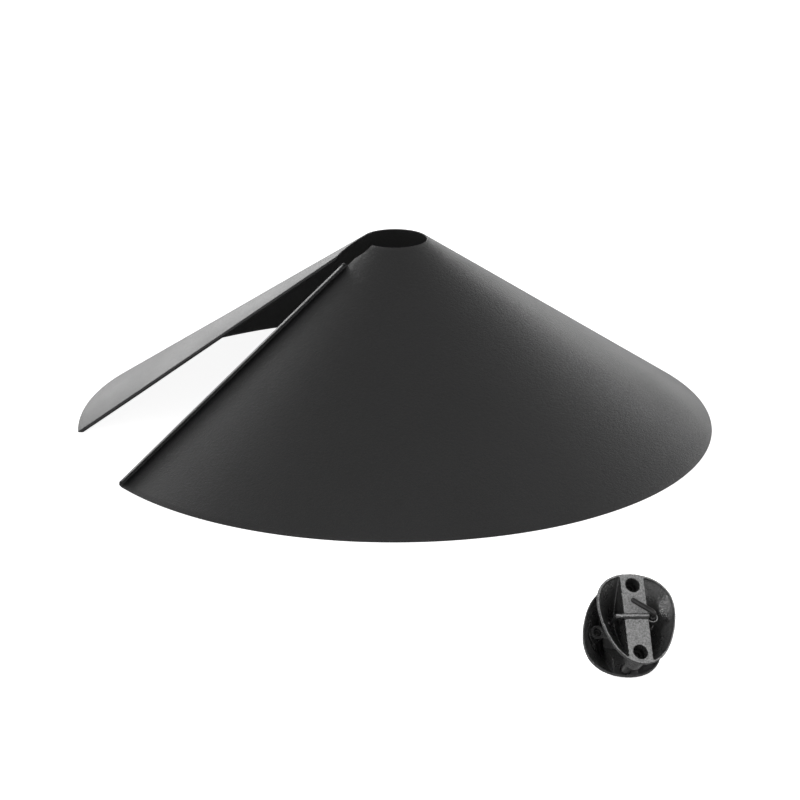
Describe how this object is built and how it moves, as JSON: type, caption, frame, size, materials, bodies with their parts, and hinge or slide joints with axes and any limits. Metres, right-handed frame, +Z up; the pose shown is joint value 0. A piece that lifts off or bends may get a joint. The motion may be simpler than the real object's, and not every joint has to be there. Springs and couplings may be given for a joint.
{
  "type": "wrap-around conical pole baffle",
  "caption": "Slit conical sheet-steel baffle, sprung open to wrap round a pole, with a two-jaw cast pole bracket held by clamp bolts.",
  "frame": {"origin": "on the ground, under the middle of the box round the cone and the bracket as they lie", "axes": "+Z up, along the cone's axis; the slit faces -X; the bracket lies on the -Y side"},
  "size_m": [0.4891, 0.7553, 0.1484],
  "materials": {
    "powder_coated_sheet": "fine satin black powder coat on sheet steel",
    "black_casting": "semi-gloss black paint on a rough casting",
    "black_fastener": "black oxide"
  },
  "bodies": {
    "rear_jaw": {"rear_jaw": "black_casting"},
    "front_jaw": {"front_jaw": "black_casting"},
    "upper_bolt": {"clamp_bolt_upper": "black_fastener"},
    "lower_bolt": {"clamp_bolt_lower": "black_fastener"},
    "pole_screw": {"pole_screw": "black_fastener"},
    "rear_screw": {"rear_set_screw": "black_fastener"},
    "sheet_flange_edge": {"sheet_flange_edge": "powder_coated_sheet"},
    "sheet_right_side": {"sheet_right_side": "powder_coated_sheet"},
    "sheet_right_rear": {"sheet_right_rear": "powder_coated_sheet"},
    "sheet_rear": {"sheet_rear": "powder_coated_sheet"},
    "sheet_left_rear": {"sheet_left_rear": "powder_coated_sheet"},
    "sheet_left_side": {"sheet_left_side": "powder_coated_sheet"},
    "sheet_hem_edge": {"sheet_hem_edge": "powder_coated_sheet"}
  },
  "joints": [
    {"name": "rim_settle", "type": "hinge", "parent": "rear_jaw", "child": "sheet_rear", "pos_m": [0.24481, 0.1297, 0], "axis": [0, 1, 0], "range_deg": [-6.9, 6.5]},
    {"name": "cone_close", "type": "hinge", "parent": "sheet_rear", "child": "sheet_left_rear", "pos_m": [-0.0031, 0.1297, 0.16492], "axis": [-0.7635, -0.3354, 0.5519], "range_deg": [-7, 6.6], "stiffness_Nm_per_rad": 120},
    {"name": "left_side_bend", "type": "hinge", "parent": "sheet_left_rear", "child": "sheet_left_side", "pos_m": [-0.0031, 0.1297, 0.16492], "axis": [-0.2695, -0.7891, 0.5519], "range_deg": [-7.1, 6.7]},
    {"name": "hem_edge_bend", "type": "hinge", "parent": "sheet_left_side", "child": "sheet_hem_edge", "pos_m": [-0.0031, 0.1297, 0.16492], "axis": [0.3988, -0.7323, 0.5519], "range_deg": [-7.1, 6.7]},
    {"name": "right_rear_bend", "type": "hinge", "parent": "sheet_rear", "child": "sheet_right_rear", "pos_m": [-0.0031, 0.1297, 0.16492], "axis": [0.7635, -0.3354, -0.5519], "range_deg": [-7.1, 6.7]},
    {"name": "right_side_bend", "type": "hinge", "parent": "sheet_right_rear", "child": "sheet_right_side", "pos_m": [-0.0031, 0.1297, 0.16492], "axis": [0.2695, -0.7891, -0.5519], "range_deg": [-7.1, 6.7]},
    {"name": "flange_edge_bend", "type": "hinge", "parent": "sheet_right_side", "child": "sheet_flange_edge", "pos_m": [-0.0031, 0.1297, 0.16492], "axis": [-0.3988, -0.7323, -0.5519], "range_deg": [-7.1, 6.7]},
    {"name": "jaw_slide", "type": "slide", "parent": "rear_jaw", "child": "front_jaw", "axis": [0.0477, -0.6661, 0.7443], "range_m": [0, 0.005]},
    {"name": "upper_bolt_turn", "type": "hinge", "parent": "front_jaw", "child": "upper_bolt", "pos_m": [-0.02451, -0.33147, 0.04766], "axis": [0.0477, -0.6661, 0.7443], "continuous": true},
    {"name": "lower_bolt_turn", "type": "hinge", "parent": "front_jaw", "child": "lower_bolt", "pos_m": [-0.03429, -0.36512, 0.01817], "axis": [0.0477, -0.6661, 0.7443], "continuous": true},
    {"name": "pole_screw_turn", "type": "hinge", "parent": "front_jaw", "child": "pole_screw", "pos_m": [-0.01743, -0.35736, 0.04271], "axis": [0.0477, -0.6661, 0.7443], "continuous": true},
    {"name": "rear_screw_turn", "type": "hinge", "parent": "rear_jaw", "child": "rear_screw", "pos_m": [-0.0433, -0.32864, 0.02116], "axis": [0.0477, -0.6661, 0.7443], "continuous": true}
  ],
  "couplings": [
    {"joint": "left_side_bend", "follows": "cone_close", "ratio": 1},
    {"joint": "hem_edge_bend", "follows": "cone_close", "ratio": 1},
    {"joint": "right_rear_bend", "follows": "cone_close", "ratio": 1},
    {"joint": "right_side_bend", "follows": "cone_close", "ratio": 1},
    {"joint": "flange_edge_bend", "follows": "cone_close", "ratio": 1},
    {"joint": "rim_settle", "follows": "cone_close", "ratio": 0.963}
  ]
}
